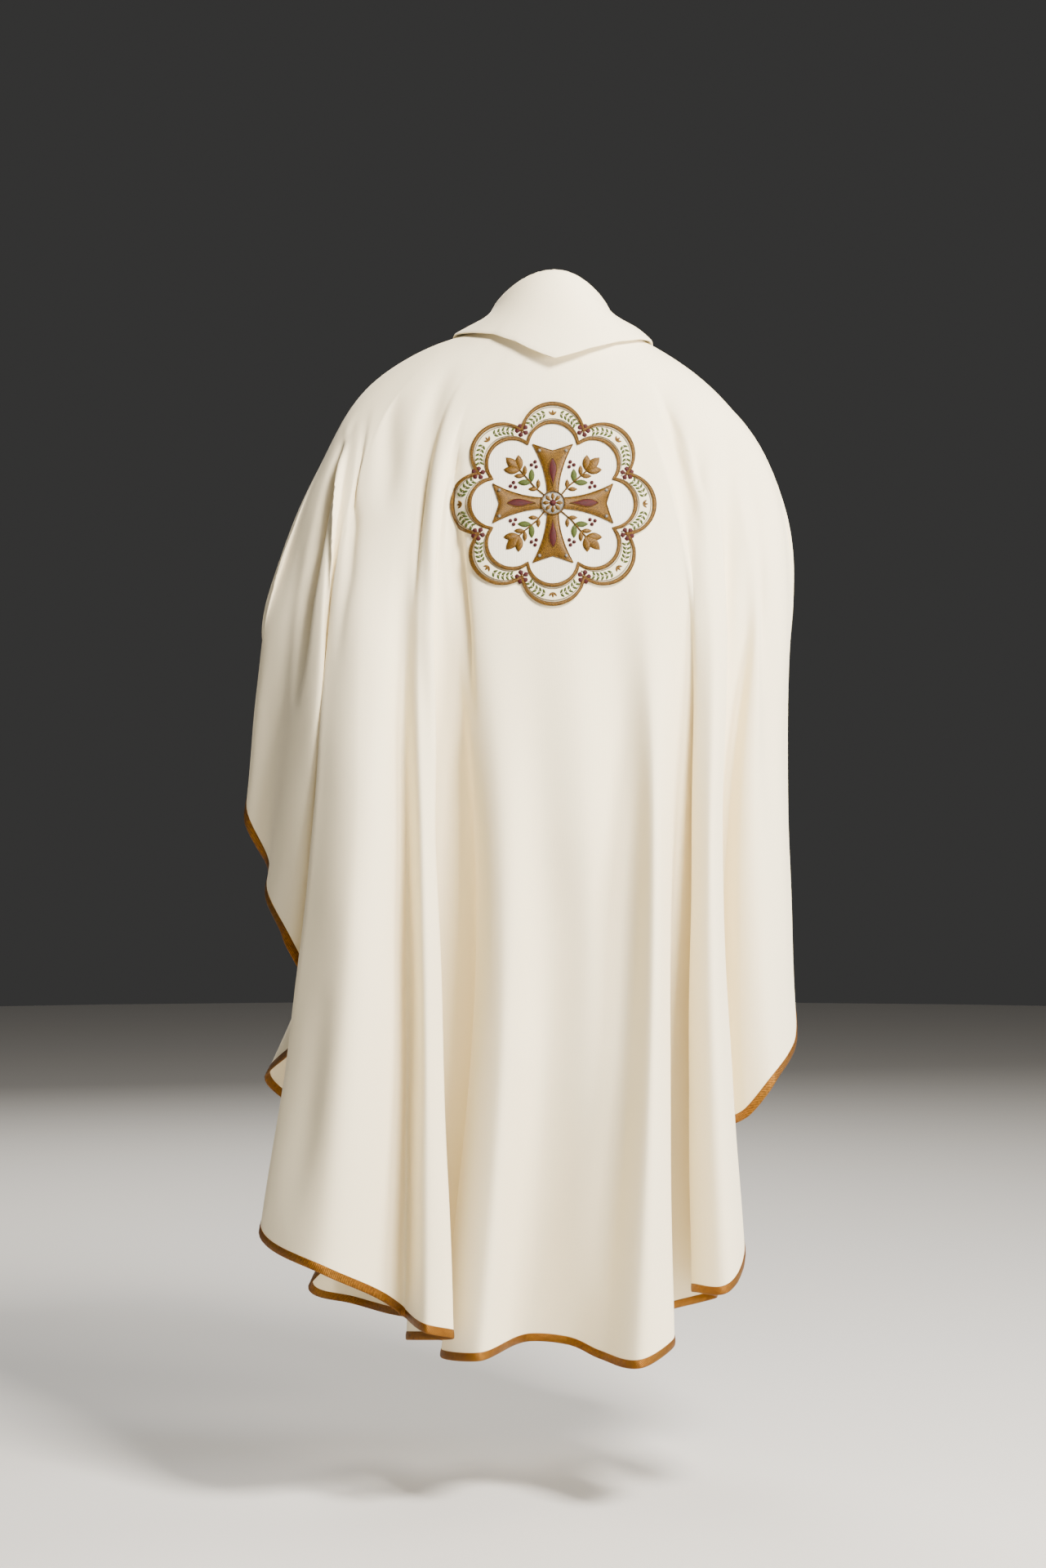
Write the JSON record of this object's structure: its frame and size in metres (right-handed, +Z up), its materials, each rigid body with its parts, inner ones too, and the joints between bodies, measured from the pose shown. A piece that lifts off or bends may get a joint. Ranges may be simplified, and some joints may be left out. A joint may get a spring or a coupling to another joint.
{
  "type": "chasuble",
  "caption": "Full bell-shaped Gothic chasuble hanging as worn, with a pointed fall collar, gold-bound hem and an embroidered roundel on the back",
  "frame": {"origin": "middle of the neck opening, level with the top of the shoulders, where the garment rests on its wearer", "axes": "+Z up, +Y the way the wearer faces, +X towards the wearer's right hand"},
  "size_m": [0.7264, 0.5696, 1.3874],
  "materials": {
    "ivory_cloth": "smooth matt ivory cloth with a fine even weave",
    "gold_binding": "gold metallic cloth cut on the bias, satin sheen",
    "emblem_ground": "close stitched off-white ground",
    "gold_thread": "raised stitching in gold thread"
  },
  "bodies": {
    "root": {"back_panel": "ivory_cloth", "front_panel": "ivory_cloth", "collar": "ivory_cloth", "hem_binding": "gold_binding", "emblem_ground": "emblem_ground", "emblem_outer_cord": "gold_thread", "emblem_inner_cord": "gold_thread", "emblem_cross": "gold_thread"}
  },
  "joints": []
}
